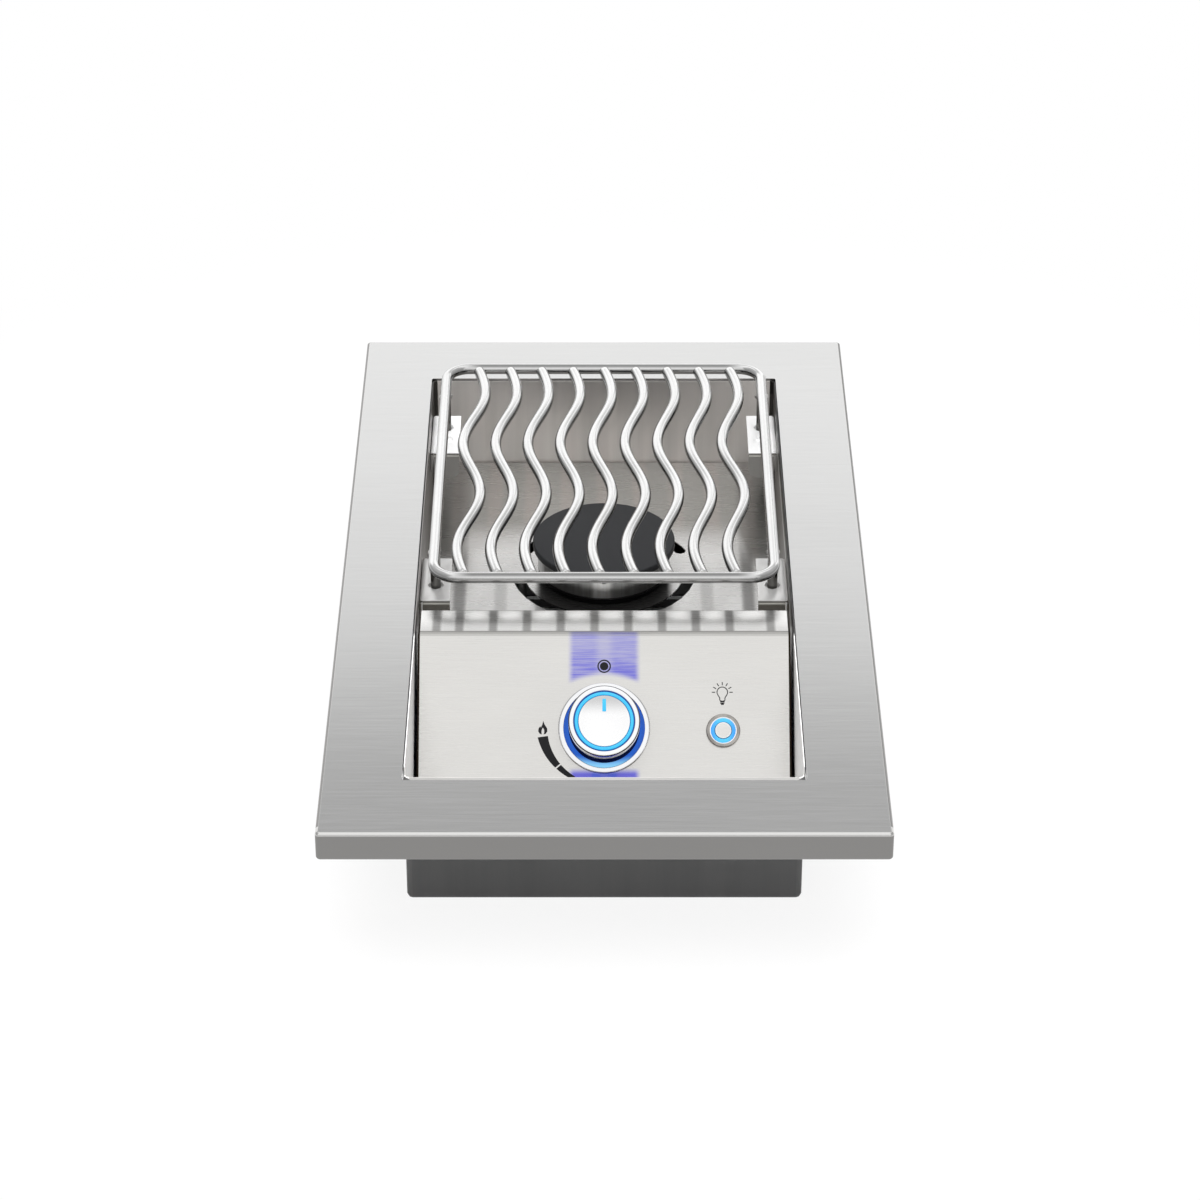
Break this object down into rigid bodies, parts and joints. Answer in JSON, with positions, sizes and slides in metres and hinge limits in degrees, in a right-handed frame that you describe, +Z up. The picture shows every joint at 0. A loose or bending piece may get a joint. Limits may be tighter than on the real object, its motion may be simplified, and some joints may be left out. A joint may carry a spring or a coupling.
{
  "type": "built-in gas side burner",
  "caption": "Drop-in gas side burner with a stainless trim frame, a lift-off wavy rod grate over a capped burner, and a sloping panel with a lit knob and light button.",
  "frame": {"origin": "centre of the footprint at the underside of the casing", "axes": "+Z up, -Y to the front where the knob is, +X to the right seen from the front"},
  "size_m": [0.3556, 0.6358, 0.1213],
  "materials": {
    "trim_steel": "brushed stainless sheet",
    "casing_steel": "stainless sheet, dark outside",
    "pan_steel": "polished stainless sheet",
    "panel_steel": "brushed stainless sheet",
    "bracket_steel": "polished stainless sheet",
    "rod_steel": "electropolished rod",
    "burner_steel": "polished stainless",
    "cap_black": "matt black enamel",
    "base_casting": "heat-darkened casting",
    "zinc_steel": "zinc plated",
    "valve_brass": "machined",
    "knob_chrome": "bright chrome",
    "face_silver": "satin silver",
    "cyan_light": "lit translucent ring",
    "blue_light": "lit translucent ring",
    "insulator_ceramic": "glazed",
    "module_plastic": "moulded"
  },
  "bodies": {
    "casing": {"trim_frame": "trim_steel", "casing_shell": "casing_steel", "burner_pan": "pan_steel", "control_panel": "panel_steel", "grate_bracket_front_left": "bracket_steel", "grate_bracket_front_right": "bracket_steel", "grate_bracket_rear_left": "bracket_steel", "grate_bracket_rear_right": "bracket_steel", "burner_base": "base_casting", "burner_ring": "burner_steel", "venturi_tube": "zinc_steel", "injector": "valve_brass", "burner_screw_left": "zinc_steel", "burner_screw_right": "zinc_steel", "gas_valve": "valve_brass", "valve_bridge": "zinc_steel", "valve_spring": "zinc_steel", "gas_inlet_pipe": "zinc_steel", "inlet_fitting": "valve_brass", "inlet_nut": "valve_brass", "knob_bezel": "knob_chrome", "bezel_light_ring": "blue_light", "bezel_screw_left": "zinc_steel", "bezel_screw_right": "zinc_steel", "switch_housing": "knob_chrome", "switch_nut": "zinc_steel", "switch_light_ring": "cyan_light", "electrode_plate": "zinc_steel", "electrode_insulator": "insulator_ceramic", "igniter_electrode": "zinc_steel", "spark_module": "module_plastic"},
    "grate": {"grate_ring": "rod_steel", "grate_bar_1": "rod_steel", "grate_bar_2": "rod_steel", "grate_bar_3": "rod_steel", "grate_bar_4": "rod_steel", "grate_bar_5": "rod_steel", "grate_bar_6": "rod_steel", "grate_bar_7": "rod_steel", "grate_bar_8": "rod_steel", "grate_bar_9": "rod_steel", "grate_leg_front_left": "rod_steel", "grate_leg_front_right": "rod_steel", "grate_leg_rear_left": "rod_steel", "grate_leg_rear_right": "rod_steel"},
    "burner_cap": {"burner_cap": "cap_black"},
    "stem_carrier": {"stem_collar": "zinc_steel"},
    "knob": {"valve_stem": "zinc_steel", "knob_body": "knob_chrome", "knob_face": "face_silver", "knob_light_ring": "cyan_light"},
    "light_button": {"switch_button": "face_silver"},
    "shutter": {"air_shutter": "zinc_steel"}
  },
  "joints": [
    {"name": "grate_lift", "type": "slide", "parent": "casing", "child": "grate", "axis": [0, 0, 1], "range_m": [0, 0.08]},
    {"name": "cap_lift", "type": "slide", "parent": "casing", "child": "burner_cap", "axis": [0, 0, 1], "range_m": [0, 0.03]},
    {"name": "knob_push", "type": "slide", "parent": "casing", "child": "stem_carrier", "axis": [0, 0.7193, -0.6947], "range_m": [0, 0.0035], "stiffness_N_per_m": 2500, "springref_m": -0.002, "deforming": ["valve_spring"]},
    {"name": "knob_turn", "type": "hinge", "parent": "stem_carrier", "child": "knob", "pos_m": [0, -0.13353, 0.05661], "axis": [0, -0.7193, 0.6947], "range_deg": [0, 210]},
    {"name": "button_press", "type": "slide", "parent": "casing", "child": "light_button", "axis": [0, 0.7193, -0.6947], "range_m": [0, 0.0015], "stiffness_N_per_m": 1500, "springref_m": -0.001},
    {"name": "shutter_turn", "type": "hinge", "parent": "casing", "child": "shutter", "pos_m": [0, -0.041, 0.0165], "axis": [0, 1, 0], "range_deg": [0, 40]}
  ]
}
